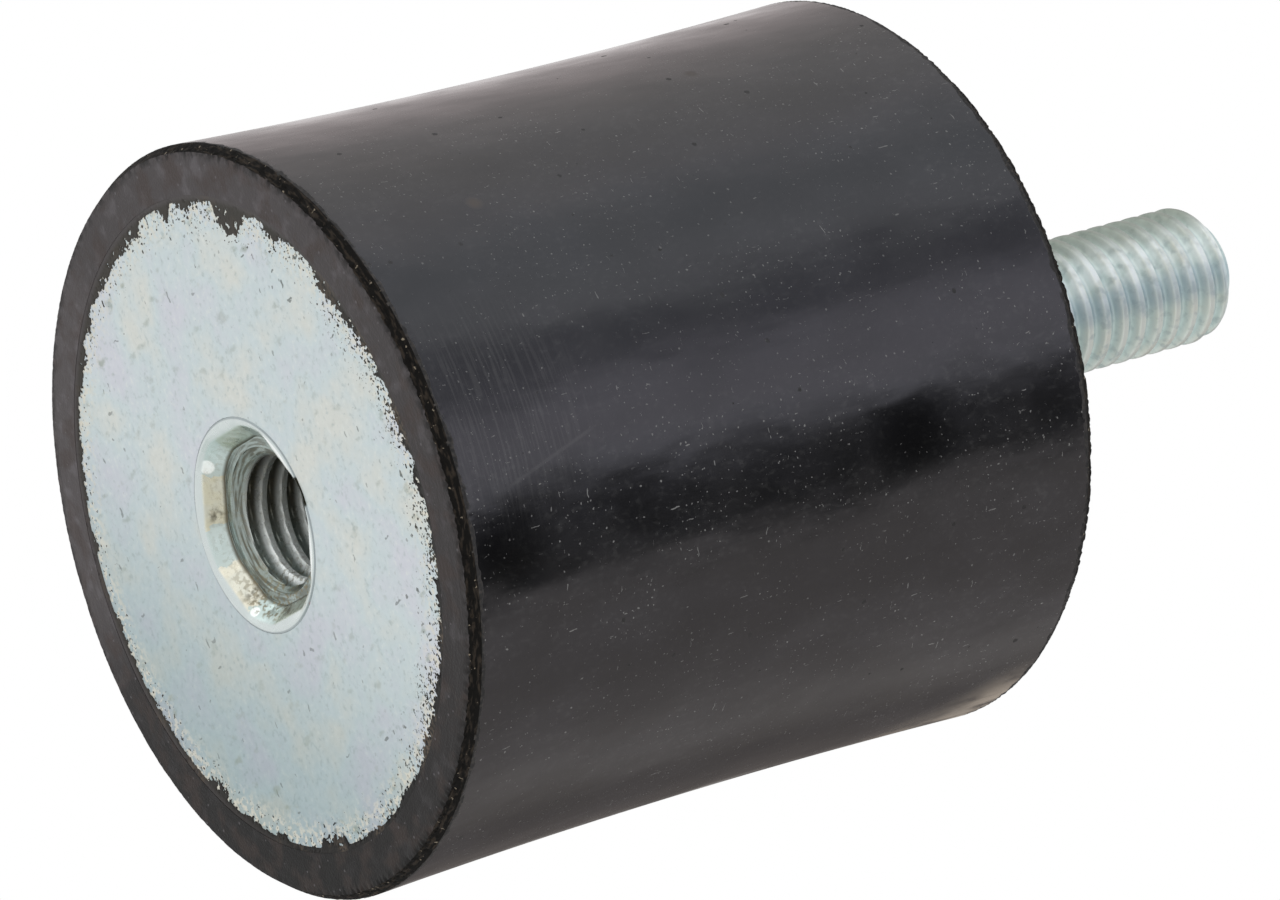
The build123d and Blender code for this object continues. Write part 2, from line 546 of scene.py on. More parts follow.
@dataclass(frozen=True)
class GlossyRubber:
    """The moulded side: glossy black, with mould streaks, haze, dust and a few stains, a strip of
    painted light over the dark reflected band with spots there left dark, and a painted warm reflection
    near one edge.

    A place of the painted warm reflection and its duller, rubbed patch has its reach in millimetres. A
    wave of the surface is a size, a detail, a scale along the axis and a depth.
    """

    black: Colour = (0.0015, 0.0015, 0.0016)
    haze: Colour = paint(33, 33, 36)
    scuff_reflection: Colour = paint(174, 160, 143)
    dust: Colour = paint(136, 136, 134)
    stain: Colour = paint(62, 54, 48)
    soot: Colour = (0.0, 0.0, 0.0)
    torn: Colour = paint(44, 38, 32)
    haze_share: float = 0.657
    lightened_band_side: float = -70.5
    border_width: float = 0.78
    dark_reflection_places: Sequence[Place] = ((7.0, -18.7, 2.7), (7.0, -18.7, 28.5))
    scuff_reflection_places: Sequence[tuple[Place, float]] = (
        (round_axis(-6, END_RADIUS, 39.6), 5.5),
        (round_axis(3, END_RADIUS, 39.2), 8.0),
        (round_axis(9, END_RADIUS, 36.5), 8.0),
    )
    stained_places: Sequence[Place] = ((-10.8, -16.9, 8.8), (-15.6, -12.6, 27.0))
    combed_place: Place = (0.2, -20.2, 3.8)
    flow_start: Point = (-77.5, 2.8)
    flow_end: Point = (-83.5, 9.6)
    waves: Sequence[tuple[float, float, float, float]] = (
        (0.4, 3.0, 0.14, 0.003),
        (3.0, 2.0, 0.5, 0.08),
        (8.0, 1.0, 0.7, 0.25),
    )

    def material(self, name: str) -> bpy.types.Material:
        """Makes the material.

        Args:
            name: The material's name.

        Returns:
            The material.
        """
        g = Graph(name, self.black)
        rolled_out = g.warped(g.polar(0.0, 1.0), 0.25, 0.05)
        # Spots clear of haze and a little glossier: the dark reflected band is left dark there, painted
        # dark reflection as well as smoother rubber.
        clear = g.spots(self.dark_reflection_places, 0.6, 3.8)
        # Haze, and along one side a strip of painted light over the dark reflected band.
        haze_and_band_light = self.haze_and_band_light_mask(g, clear)
        g.lay(self.haze, haze_and_band_light)
        powder = g.patches(0.28, 5.0, 0.5, 0.75, g.polar(1.0, 0.6))
        g.lay(self.dust, powder, g.between(haze_and_band_light, 0.015, 0.1))
        blotches = g.patches(0.9, 5.0, 0.42, 0.66, g.polar(1.0, 0.35))
        g.lay(self.black, blotches, g.between(haze_and_band_light, 0.0, 0.35))
        g.lay(self.dust, g.most(self.combing(g), self.flow_line(g)), 0.07)
        # A painted warm reflection near the stud end's edge, laid as a rubbed patch that is also
        # duller.
        scuffs = g.most(*(g.spot(place, 0.3, reach) for place, reach in self.scuff_reflection_places))
        scuffed_and_reflecting = g.times(scuffs, g.patches(1.4, 6.0, 0.24, 0.6, g.polar(1.0, 0.5)))
        g.lay(self.scuff_reflection, scuffed_and_reflecting, 0.88)
        fleck = g.specks(3.1, 0.06, rolled_out)
        g.lay(self.soot, fleck)
        dusty = g.times(self.dust_mask(g, rolled_out), g.between(haze_and_band_light, 0.3, 0.8))
        g.lay(self.dust, dusty)
        stains = g.spots(self.stained_places, 0.15, 0.6)
        g.lay(self.stain, stains)
        torn = self.torn_border(g)
        g.lay(g.mix(g.patches(0.2, 4.0, 0.45, 0.66), self.soot, self.torn), torn)
        gloss = g.minus(g.between(g.patches(5.0, 3.0, 0.35, 0.65), 0.17, 0.26), g.times(clear, 0.08))
        dull = g.plus(g.times(g.most(dusty, fleck, scuffed_and_reflecting, stains), 0.4), g.times(torn, 0.6))
        return g.dress(Roughness=g.plus(gloss, dull), Normal=self.relief(g), Specular_IOR_Level=0.8)

    def haze_and_band_light_mask(self, g: Graph, clear: Value) -> Value:
        """Haze in clouds, with a strip of finer haze along one side that is painted light over the dark
        reflected band.

        Args:
            g: The material's nodes.
            clear: Mask of the spots that stay clear of it, where the dark reflected band is left dark.

        Returns:
            The mask.
        """
        clouds = g.patches(4.5, 5.0, 0.36, 0.7, g.polar(1.0, 0.55))
        # Painted light: finer haze in a strip along one side lifts the dark reflected band there.
        band_lightening = g.between(g.patches(1.6, 5.0, 0.35, 0.62, g.polar(1.0, 0.5)), 0.5, 1.0)
        strip = g.rise(g.facing(self.lightened_band_side), 0.97, 0.99)
        haze_and_band_light = g.most(clouds, g.times(band_lightening, strip))
        return g.times(haze_and_band_light, self.haze_share, g.between(clear, 1.0, 0.0))

    def dust_mask(self, g: Graph, rolled_out: Socket) -> Value:
        """Dust grains and short fibres that lie on the rubber.

        Args:
            g: The material's nodes.
            rolled_out: Place on the side, rolled out and a little uneven.

        Returns:
            The mask.
        """
        short = self.fibres(g, 0.5, 0.06, 0.35, (0.4, 0.1))
        long = self.fibres(g, 1.0, 0.042, 0.2, (0.6, 0.08))
        patchy = g.patches(4.0, 3.0, 0.38, 0.56)
        thick = g.times(g.most(g.specks(0.4, 0.13, rolled_out), short), patchy)
        return g.most(g.specks(0.8, 0.08, rolled_out), thick, long)

    def fibres(self, g: Graph, spacing: float, size: float, squash: float, uneven: Point) -> Value:
        """Specks drawn out into fibres, some round the side and some along it.

        Args:
            g: The material's nodes.
            spacing: Size of the cells that hold one fibre each.
            size: The thickest fibre's radius, as a part of its cell.
            squash: A fibre's width, as a part of its length.
            uneven: The size and the reach of the unevenness that curls them.

        Returns:
            The mask.
        """
        ways = (g.polar(0.0, 1.0, END_RADIUS * squash), g.polar(0.0, squash))
        return g.most(*(g.specks(spacing, size, g.warped(way, *uneven)) for way in ways))

    def combing(self, g: Graph) -> Value:
        """Mask of fine lines that run round a patch near the threaded end."""
        lines = g.patches(0.16, 2.0, 0.48, 0.62, g.polar(0.0, 1.0, END_RADIUS * 0.05))
        return g.times(lines, g.spot(self.combed_place, 2.0, 7.5))

    def flow_line(self, g: Graph) -> Value:
        """Faint line where two flows of rubber met.

        Args:
            g: The material's nodes.

        Returns:
            The mask.
        """
        (start_angle, low), (end_angle, high) = self.flow_start, self.flow_end
        slope = math.radians(end_angle - start_angle) / (high - low) / MM
        off = g.minus(g.angle, g.times(g.height, slope))
        off = g.minus(off, math.radians(start_angle) - slope * low * MM)
        off = g.math("ABSOLUTE", g.times(off, END_RADIUS * MM))
        begun, ended = g.past(g.height, low, low + 1), g.past(g.height, high, high - 1)
        return g.times(g.past(off, 0.16, 0.04), begun, ended)

    def torn_border(self, g: Graph) -> Socket:
        """Narrow ragged border where the gloss ends at the torn edges.

        Args:
            g: The material's nodes.

        Returns:
            The mask.
        """
        from_end = g.math("MINIMUM", g.height, g.minus(HEIGHT * MM, g.height))
        ragged = g.mottle(0.35, 4.0, g.polar(1.0, 1.0, END_RADIUS * 0.4))
        from_end = g.minus(from_end, g.between(ragged, -0.35 * MM, 0.35 * MM))
        return g.past(from_end, self.border_width, self.border_width - 0.1)

    def relief(self, g: Graph) -> Socket:
        """The mould's streaks and slow waves.

        Args:
            g: The material's nodes.

        Returns:
            The bumped normal.
        """
        normal = None
        for size, detail, along, depth in self.waves:
            normal = g.bump(g.mottle(size, detail, g.polar(1.0, along)), depth, normal)
        return normal


@dataclass(frozen=True)
class DullRubber:
    """The ring at each end: dull black, with painted light on two sides, smeared and a little brown."""

    dark: Colour = paint(14, 11, 10)
    light: Colour = paint(78, 73, 74)
    smear: Colour = paint(104, 100, 104)
    brown: Colour = paint(60, 46, 40)
    soot: Colour = paint(10, 8, 7)
    painted_light_side: float = 200.0
    highlight_side: float = 116.0

    def material(self, name: str) -> bpy.types.Material:
        """Makes the material.

        Args:
            name: The material's name.

        Returns:
            The material.
        """
        g = Graph(name, self.dark)
        # Painted light: the flat ring is lighter towards two sides.
        light = g.times(g.plus(g.facing(self.painted_light_side), 1.0), 0.4)
        bright = g.times(g.rise(g.facing(self.highlight_side), 0.74, 0.95), 0.68)
        lit = g.plus(light, bright)
        g.lay(self.light, lit)
        # Smears, shown only where the painted light falls, so they add to the painted light.
        smears = g.patches(1.3, 6.0, 0.5, 0.68, g.polar(1.0, 1.0))
        g.lay(self.smear, smears, g.between(lit, 0.06, 0.5))
        g.lay(self.brown, g.patches(1.6, 5.0, 0.46, 0.64), 0.5)
        at_edge = g.past(g.radius, END_RADIUS - 1.0, END_RADIUS - 0.3)
        g.lay(self.soot, at_edge, g.patches(0.6, 4.0, 0.42, 0.58), 0.85)
        g.lay(self.smear, g.specks(0.8, 0.12), 0.5)
        scuffs = g.mottle(0.35, 4.0, g.polar(1.0, 1.0, END_RADIUS * 0.25))
        normal = g.bump(scuffs, 0.04, g.bump(g.mottle(0.16, 4.0), 0.03))
        return g.dress(Roughness=0.55, Normal=normal, Specular_IOR_Level=0.2)


@dataclass(frozen=True)
class TornRubber:
    """The moulding's torn edges: black and crumbly, with cream crumbs."""

    black: Colour = paint(12, 10, 8)
    brown: Colour = paint(48, 41, 34)
    crumb: Colour = paint(132, 122, 106)

    def material(self, name: str) -> bpy.types.Material:
        """Makes the material.

        Args:
            name: The material's name.

        Returns:
            The material.
        """
        g = Graph(name, self.black)
        grit = g.mottle(0.17, 5.0, g.polar(1.0, 1.0, END_RADIUS * 0.25))
        g.lay(self.brown, g.rise(grit, 0.48, 0.66))
        g.lay(self.crumb, g.specks(0.4, 0.16, g.warped(g.polar(1.0, 1.0), 0.2, 0.09)))
        return g.dress(Roughness=0.85, Normal=g.bump(grit, 0.12), Specular_IOR_Level=0.16)


@dataclass(frozen=True)
class FilmFinish:
    """Thin dull rubber that crept over a plate's rim in the mould, with painted light on one side, near
    the rim as light as the ring.
    """

    dark: Colour = paint(18, 15, 12)
    light: Colour = paint(58, 55, 50)
    thin: Colour = paint(90, 78, 65)
    painted_rim_light: Colour = paint(74, 70, 70)
    painted_light_side: float = 150.0

    def material(self, name: str) -> bpy.types.Material:
        """Makes the material.

        Args:
            name: The material's name.

        Returns:
            The material.
        """
        g = Graph(name, self.dark)
        grit = g.mottle(0.22, 4.0)
        # Painted light: lighter towards one side, and near the rim as light as the ring.
        lit = g.past(g.towards(self.painted_light_side), -PLATE_RADIUS, PLATE_RADIUS * 0.7)
        g.lay(self.light, lit)
        g.lay(self.painted_rim_light, g.past(g.radius, PLATE_RADIUS - 0.4, PLATE_RADIUS - 0.05), lit)
        worn = g.times(g.patches(2.6, 2.0, 0.5, 0.66), g.rise(grit, 0.36, 0.6))
        g.lay(self.thin, worn, g.between(lit, 0.9, 0.3))
        return g.dress(Roughness=0.6, Normal=g.bump(grit, 0.03), Specular_IOR_Level=0.2)


@dataclass(frozen=True)
class PlateFinish:
    """Bright zinc on a sheet steel plate, clouded, speckled, and crusted near its rim, with a little
    painted shade on one side.
    """

    blue: Colour = paint(200, 211, 213)
    lilac: Colour = paint(204, 207, 214)
    cream: Colour = paint(210, 213, 208)
    shade: Colour = (0.64, 0.70, 0.71)
    speck: Colour = paint(92, 98, 94)
    bruise: Colour = paint(146, 156, 146)
    crust: Colour = paint(218, 213, 198)
    crumb: Colour = paint(58, 54, 46)
    pale_grain: Colour = paint(222, 226, 222)
    dark_grain: Colour = paint(172, 184, 184)
    painted_shade_side: float = 38.0
    crumbly_side: float = 262.0

    def material(self, name: str) -> bpy.types.Material:
        """Makes the material.

        Args:
            name: The material's name.

        Returns:
            The material.
        """
        g = Graph(name)
        self.cloud_and_shade(g)
        from_rim = g.minus(PLATE_RADIUS * MM, g.radius)
        near_rim = g.past(from_rim, 6.0, 0.4)
        speckled = g.times(near_rim, g.between(self.crumbly(g), 0.15, 1.0))
        specks = g.most(
            g.specks(1.5, 0.09, g.warped(g.moved((1.0, 0.42, 1.0)), 0.4, 0.1)),
            g.specks(1.3, 0.09, g.warped(g.moved((0.45, 1.0, 1.0), (0.003, 0.0, 0.0)), 0.4, 0.1)),
            g.times(g.specks(0.6, 0.18, g.warped(g.place, 0.3, 0.08)), speckled),
        )
        g.lay(self.speck, specks, g.between(speckled, 0.5, 0.95))
        bruises = g.patches(0.9, 4.0, 0.6, 0.74, g.moved((1.0, 0.6, 1.0)))
        g.lay(self.bruise, bruises, g.between(near_rim, 0.35, 0.8))
        crusty = g.patches(0.3, 4.0, 0.48, 0.6, g.moved((1.0, 1.0, 1.0), (0.02, 0.0, 0.0)))
        g.lay(self.crust, g.past(from_rim, 2.6, 0.3), crusty, 0.8)
        g.lay(self.crumb, self.crumbs(g, from_rim))
        fine = g.mottle(0.4, 5.0)
        scratches = g.mottle(0.28, 3.0, g.moved((1.0, 0.06, 1.0)))
        rough = g.between(g.rise(fine, 0.3, 0.7), 0.38, 0.5)
        normal = g.bump(scratches, 0.002, g.bump(fine, 0.008))
        return g.dress(Roughness=rough, Normal=normal, Metallic=1.0)

    def cloud_and_shade(self, g: Graph) -> None:
        """Lays faint clouds and grain, and a little painted shade on one side.

        Args:
            g: The material's nodes.
        """
        clouds = [(0.36, self.cream), (0.5, self.blue), (0.66, self.lilac)]
        g.colour = g.ramp(g.mottle(5.0, 4.0), clouds)
        grains = g.mottle(0.32, 4.0)
        g.lay(self.pale_grain, g.rise(grains, 0.55, 0.75), 0.4)
        g.lay(self.dark_grain, g.rise(grains, 0.45, 0.28), 0.5)
        # Painted shade: one side of the plate a little darker.
        painted_shade = g.past(g.towards(self.painted_shade_side), -0.15 * PLATE_RADIUS, PLATE_RADIUS)
        g.lay(g.mix(1.0, g.colour, self.shade, "MULTIPLY"), painted_shade)

    def crumbly(self, g: Graph) -> Socket:
        """Mask of the side where rubber crumbs lie thickest."""
        return g.past(g.towards(self.crumbly_side), -0.5 * PLATE_RADIUS, 0.6 * PLATE_RADIUS)

    def crumbs(self, g: Graph, from_rim: Socket) -> Value:
        """Rubber crumbs that cling near the rim, thickest at the rim and on one side.

        Args:
            g: The material's nodes.
            from_rim: How far inside the rim a place lies, in metres.

        Returns:
            The mask.
        """
        lumps = g.mottle(0.19, 5.0, g.moved((1.0, 1.0, 1.0), (0.0, 0.03, 0.0)))
        closeness = g.between(g.past(from_rim, 2.4, 0.1), 0.0, 0.09)
        patchy = g.between(g.patches(3.0, 2.0, 0.42, 0.62), 0.0, 0.07)
        raised = g.plus(lumps, closeness, patchy, g.between(self.crumbly(g), -0.03, 0.05))
        return g.times(g.rise(raised, 0.73, 0.78), g.past(from_rim, 3.0, 2.0))


@dataclass(frozen=True)
class BushFinish:
    """Zinc on the bush: pressed flats between pale corners, in painted reflection tones with painted
    glints, a dark band at their feet, grey threads with painted light and shade.

    A glint is an angle in degrees and a size, and a piece of debris is an angle, a radius and a
    size in millimetres.
    """

    lip: Colour = paint(205, 213, 212)
    # Painted reflection and highlight: the corners' pale tone and the glints.
    corner: Colour = paint(196, 210, 208)
    glint: Colour = (0.95, 1.0, 0.99)
    lip_highlight: Colour = paint(238, 242, 241)
    painted_groove_shade: Colour = paint(128, 138, 142)
    ledge: Colour = paint(158, 170, 166)
    lead_in: Colour = paint(146, 156, 152)
    foot: Colour = paint(74, 70, 56)
    thread: Colour = paint(200, 204, 200)
    root: Colour = paint(96, 95, 84)
    painted_shadow: Colour = paint(34, 34, 26)
    dirt: Colour = paint(120, 110, 84)
    rust: Colour = paint(158, 96, 96)
    lead_depth: float = 0.6
    lip_highlight_side: float = 275.0
    highlight_side: float = 20.0
    dirty_side: float = 5.0
    corner_share: float = 0.42
    # Painted reflections: one tone of the same zinc for each flat, as each reflects the light.
    flats: Sequence[Colour] = (
        paint(188, 196, 188),
        paint(228, 227, 214),
        paint(212, 211, 192),
        paint(190, 202, 194),
        paint(222, 226, 224),
        paint(226, 229, 226),
    )
    glints: Sequence[Point] = ((142.0, 0.5), (40.0, 0.36))
    glint_radius: float = 5.15
    shaded_nick_places: Sequence[Place] = (
        round_axis(262, 5.55, 0.2),
        round_axis(267, 5.6, 0.2),
        round_axis(272, 5.55, 0.2),
    )
    rusty_place: Place = (5.2, -2.9, 0.12)
    debris_height: float = 0.7
    debris: Sequence[Place] = (
        (214.0, 4.9, 0.7), (222.0, 5.2, 0.5), (205.0, 4.6, 0.6), (8.0, 4.7, 0.7),
        (330.0, 4.8, 0.6), (110.0, 4.7, 0.7), (50.0, 4.55, 1.0), (28.0, 4.5, 1.0),
    )

    def material(self, name: str) -> bpy.types.Material:
        """Makes the material.

        Args:
            name: The material's name.

        Returns:
            The material.
        """
        g = Graph(name)
        grit = g.mottle(0.24, 4.0)
        self.facet(g)
        g.lay(self.lip_tone(g), g.past(g.height, THREADED_FACE + 0.16, THREADED_FACE + 0.04))
        # A darker band at the foot of the mouth's wall.
        g.lay(self.foot, g.past(g.height, MOUTH_FLOOR - 0.22, MOUTH_FLOOR - 0.04), 0.9)
        lines = g.patches(0.3, 4.0, 0.42, 0.6, g.polar(1.6, 0.0, 0.8))
        ledge = g.mix(g.times(lines, 0.6), self.ledge, self.foot)
        g.lay(ledge, g.past(g.height, MOUTH_FLOOR - 0.02, MOUTH_FLOOR - 0.005))
        rings = g.patches(0.45, 4.0, 0.44, 0.58, g.polar(0.0, 3.0, 0.9))
        lead_in = g.mix(g.times(rings, 0.75), self.lead_in, self.foot)
        g.lay(lead_in, g.past(g.height, MOUTH_FLOOR + 0.01, MOUTH_FLOOR + 0.05))
        lead_end = MOUTH_FLOOR + self.lead_depth
        deep = g.past(g.height, lead_end - 0.25, lead_end + 0.1)
        g.lay(self.thread_tone(g), deep)
        in_mouth = g.past(g.height, THREADED_FACE + 0.05, THREADED_FACE + 0.5)
        dirty_side = g.between(g.past(g.towards(self.dirty_side), 1.0, 4.5), 0.22, 1.0)
        g.lay(self.dirt, g.rise(grit, 0.5, 0.6), in_mouth, 0.8, dirty_side)
        self.soil(g)
        rough = g.between(g.patches(0.7, 3.0, 0.3, 0.7), 0.22, 0.4)
        return g.dress(Roughness=rough, Normal=g.bump(grit, 0.01), Metallic=g.between(deep, 1.0, 0.35))

    def facet(self, g: Graph) -> None:
        """Lays the mouth's flats and the corners between them in painted tones of the light each one
        reflects, and the corners' painted glints.

        Args:
            g: The material's nodes.
        """
        count = len(self.flats)
        turn = g.plus(g.times(g.angle, 1 / FULL_TURN), 1 + (1 - self.corner_share) / 2 / count)
        turn = g.plus(turn, g.between(g.mottle(0.9, 4.0), -0.05, 0.05))
        stops = []
        for place, tone in enumerate(self.flats):
            stops += [(place / count, tone), ((place + 1 - self.corner_share) / count, self.corner)]
        g.colour = g.ramp(g.math("FRACT", turn), stops, "CONSTANT")
        g.lay(self.lip, g.patches(1.3, 3.0, 0.45, 0.62), 0.35)
        for angle, size in self.glints:
            place = round_axis(angle, self.glint_radius, THREADED_FACE + 0.25)
            g.lay(self.glint, g.spot(place, size * 0.7, size))

    def lip_tone(self, g: Graph) -> Socket:
        """The lip: on the far side a painted highlight inside it, outlined by painted shade along a
        grey groove.

        Args:
            g: The material's nodes.

        Returns:
            The colour.
        """
        # Painted highlight on the lip's inner part on one side, and painted shade in its groove there.
        far = g.past(g.towards(self.lip_highlight_side), 0.5, 4.0)
        inner = g.past(g.radius, NOSE_RADIUS - 0.2, NOSE_RADIUS - 0.3)
        tone = g.mix(g.times(far, inner), self.lip, self.lip_highlight)
        groove = g.past(g.radius, NOSE_RADIUS - 0.16, NOSE_RADIUS - 0.08)
        tone = g.mix(g.times(groove, g.between(far, 0.6, 0.75)), tone, self.painted_groove_shade)
        # Painted shadow in the nick, where the mouth is cut wider.
        return g.mix(g.spots(self.shaded_nick_places, 0.3, 0.44), tone, self.painted_shadow)

    def thread_tone(self, g: Graph) -> Socket:
        """The thread: pale crests and brown roots, with painted highlight on one side and painted shade
        opposite.

        Args:
            g: The material's nodes.

        Returns:
            The colour.
        """
        valley = g.past(g.radius, BORE_RADIUS + 0.2, BORE_RADIUS + 0.5)
        # Painted highlight on the crests and lighter roots on one side; painted shade on the other
        # side.
        bright = g.past(g.towards(self.highlight_side), -0.5, 3.4)
        crest = g.mix(bright, self.thread, self.glint)
        tone = g.mix(valley, crest, g.mix(bright, self.root, self.ledge))
        painted_dark_side = g.past(g.towards(self.highlight_side), 2.2, -3.6)
        return g.mix(g.times(painted_dark_side, 0.85), tone, self.painted_shadow)

    def soil(self, g: Graph) -> None:
        """Lays clotted dirt at a few places, and one rusty mark.

        Args:
            g: The material's nodes.
        """
        clots = []
        for angle, reach, size in self.debris:
            clots.append(g.spot(round_axis(angle, reach, self.debris_height), 0.1, size))
        g.lay(self.foot, g.most(*clots), g.patches(0.3, 5.0, 0.36, 0.66), 0.75)
        g.lay(self.rust, g.spot(self.rusty_place, 0.1, 0.26))


@dataclass(frozen=True)
class StudFinish:
    """Pale blue-green zinc on the rolled thread, with painted highlights on the crests and on one side,
    a painted reflected band, and painted shade on another side.
    """

    crest: Colour = paint(216, 223, 217)
    root: Colour = paint(198, 215, 213)
    cream: Colour = paint(212, 210, 196)
    speck: Colour = paint(166, 180, 182)
    gleam: Colour = paint(246, 253, 252)
    gleam_side: float = -110.0
    blue: Colour = paint(146, 170, 186)
    reflected_band_side: float = -73.0
    shade: Colour = paint(142, 152, 142)
    shade_side: float = -160.0

    def material(self, name: str) -> bpy.types.Material:
        """Makes the material.

        Args:
            name: The material's name.

        Returns:
            The material.
        """
        g = Graph(name, self.root)
        # Painted highlight: the crests lighter than the roots.
        g.lay(self.crest, g.past(g.radius, STUD_ROOT, STUD_CREST))
        g.lay(self.cream, g.patches(1.8, 3.0, 0.5, 0.7), 0.35)
        grit = g.mottle(0.6, 4.0)
        g.lay(self.speck, g.rise(grit, 0.5, 0.68), 0.5)
        # Painted highlight on one side, in patches.
        gleaming = g.past(g.towards(self.gleam_side), STUD_CREST * 0.7, STUD_CREST)
        g.lay(self.gleam, gleaming, g.patches(1.1, 2.0, 0.34, 0.56), 0.75)
        # Painted reflection: a narrow blue-grey band down one side.
        reflected_band = g.plus(g.facing(self.reflected_band_side), g.times(g.mottle(1.0, 4.0), 0.06))
        g.lay(self.blue, g.rise(reflected_band, 0.97, 1.04), 0.42)
        g.lay(self.shade, g.past(g.towards(self.shade_side), STUD_CREST * 0.6, STUD_CREST), 0.85)
        rough = g.between(g.patches(0.6, 3.0, 0.3, 0.7), 0.44, 0.62)
        return g.dress(Roughness=rough, Normal=g.bump(grit, 0.02), Metallic=0.7)


# --- Sub-assemblies ---


def adopt(
    piece: bpy.types.Object, slot: Slot, finishes: Sequence[bpy.types.Material], *nodes: str
) -> None:
    """Gives a piece its body and finishes, and hides the CAD nodes that it stands for.

    Args:
        piece: The piece.
        slot: The record's slot for the piece. It is not used.
        finishes: Its materials, the first of them on every face that is given no other.
        nodes: CAD nodes that it stands for.
    """
    piece.data.materials.clear()
    for finish in finishes:
        piece.data.materials.append(finish)
    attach(piece, BODY)
    if nodes:
        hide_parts(*nodes)
    LOG.info("%s: %d faces", piece.name, len(piece.data.polygons))


@dataclass
class RubberBody:
    """The moulded rubber: waisted side, torn edges, dull ends, and the pockets round the steel."""

    height: float = HEIGHT
    end_radius: float = END_RADIUS
    waist: float = 0.4
    bevel_width: float = 0.4
    bevel_height: float = 0.55
    plate_radius: float = PLATE_RADIUS
    plate_recess: float = THREADED_FACE
    shoulder: float = SHOULDER
    plate_chamfer: float = 0.4
    bush_radius: float = BUSH_RADIUS
    bush_end: float = BUSH_END
    head_radius: float = HEAD_RADIUS
    head_z: float = HEAD_Z
    steel_chamfer: float = STEEL_CHAMFER
    tear: float = 0.12
    torn_width: float = 0.62
    torn_height: float = 0.85
    torn_side: float = 285.0
    grit_size: float = 0.26
    lump_size: float = 1.3
    wave_size: float = 2.4
    wave_height: float = 0.03
    side_rows: int = 24
    edge_rows: int = 8
    steps: int = 1152
    sharp: float = 30.0

    def section(self) -> list[Point]:
        """Half section, from the bush's end round the outside to the stud's head.

        Returns:
            Its points, each a radius and a height.
        """
        shoulder, chamfer = self.shoulder, self.steel_chamfer
        bevel_start = self.end_radius - self.bevel_width
        middle = (self.end_radius - self.waist, self.height / 2)
        low_side = (self.end_radius, self.bevel_height)
        bush = [
            (0, self.bush_end),
            (self.bush_radius - chamfer, self.bush_end),
            (self.bush_radius, self.bush_end - chamfer),
            (self.bush_radius, shoulder),
        ]
        pocket = [
            (self.plate_radius - self.plate_chamfer, shoulder),
            (self.plate_radius, shoulder - self.plate_chamfer),
            (self.plate_radius, self.plate_recess),
        ]
        rim = (self.plate_radius, 0)
        face = [rim, *straight(rim, (bevel_start, 0), self.edge_rows)]
        bevel = straight((bevel_start, 0), low_side, self.edge_rows)
        first_row = self.bow(low_side, middle, 1 / self.side_rows)
        rough_side = straight(low_side, first_row, self.edge_rows - 1)
        side = [self.bow(low_side, middle, row / self.side_rows) for row in range(2, self.side_rows)]
        lower = [*bush, *pocket, *face, *bevel, *rough_side]
        head = [
            (self.head_radius, self.height - shoulder),
            (self.head_radius, self.head_z + chamfer),
            (self.head_radius - chamfer, self.head_z),
            (0, self.head_z),
        ]
        mirrored = [(radius, self.height - z) for radius, z in lower[len(bush):]][::-1]
        return [*lower, *side[:-1], *mirrored, *head]

    def bow(self, start: Point, middle: Point, part: float) -> Point:
        """Point part of the way up the waisted side.

        Args:
            start: The side's lowest point.
            middle: The point at its waist.
            part: How far up the point lies, from 0 to 1.

        Returns:
            The point.
        """
        across = 4 * part * (1 - part)
        return (
            start[0] - (start[0] - middle[0]) * across,
            start[1] + (self.height - 2 * start[1]) * part,
        )

    def torn(self, radius: float, angle: float, height: float) -> Point:
        """Where a point of the turned section lies once the moulding's edges are torn.

        Args:
            radius: The point's radius in millimetres.
            angle: Its angle in radians.
            height: Its height in millimetres.

        Returns:
            Its new radius and height.
        """
        from_end = min(height, self.height - height)
        if radius < self.plate_radius + 0.2 or from_end > self.torn_height:
            return radius, height
        inwards = math.copysign(1.0, self.height / 2 - height)
        edge = ramped(radius, self.end_radius - self.torn_width, self.end_radius - self.bevel_width)
        edge *= 1 - ramped(from_end, self.bevel_height, self.torn_height)
        edge *= 0.2 + 0.8 * ramped(math.cos(angle - math.radians(self.torn_side)), -0.35, 0.25)
        rough = grain(radius, angle, height, self.grit_size, 2)
        rough += 0.3 * grain(radius, angle, height, self.lump_size, 2)
        bite = min(max(0.0, 0.35 + rough), 1.2) * self.tear * edge
        outer_ring = ramped(radius, self.plate_radius + 0.3, self.plate_radius + 0.9)
        wave = max(0.0, grain(radius, angle, height, self.wave_size, 2)) * self.wave_height * outer_ring
        if from_end < 0.05:
            return radius, height + inwards * (bite + wave)
        return radius - bite * 0.3, height + inwards * bite * (1 - ramped(from_end, 0.15, 0.5))

    def skin(self, place: Vector) -> int:
        """Which finish a face has.

        Args:
            place: The face's centre in metres.

        Returns:
            0 for the glossy side, 1 for the dull ring, 2 for the torn edge.
        """
        radius, angle = math.hypot(place.x, place.y) / MM, math.atan2(place.y, place.x)
        height = place.z / MM
        from_end = min(height, self.height - height)
        ragged = 0.1 * grain(radius, angle, height, 0.45, 3)
        if from_end > self.bevel_height + 0.02 + ragged:
            return 0
        return 2 if radius > self.end_radius - self.bevel_width - 0.05 + ragged else 1

    def build(self, finishes: Sequence[bpy.types.Material]) -> bpy.types.Object:
        """Models the rubber and dresses its side, rings and torn edges.

        Args:
            finishes: The finishes of the side, the rings and the torn edges.

        Returns:
            The piece.
        """
        piece = turned("moulded_rubber", self.section(), self.steps)
        reshape(piece, self.torn)
        smooth(piece, self.sharp)
        adopt(piece, Slot.RUBBER, finishes, "rubber_body")
        for face in piece.data.polygons:
            face.material_index = self.skin(face.center)
        return piece


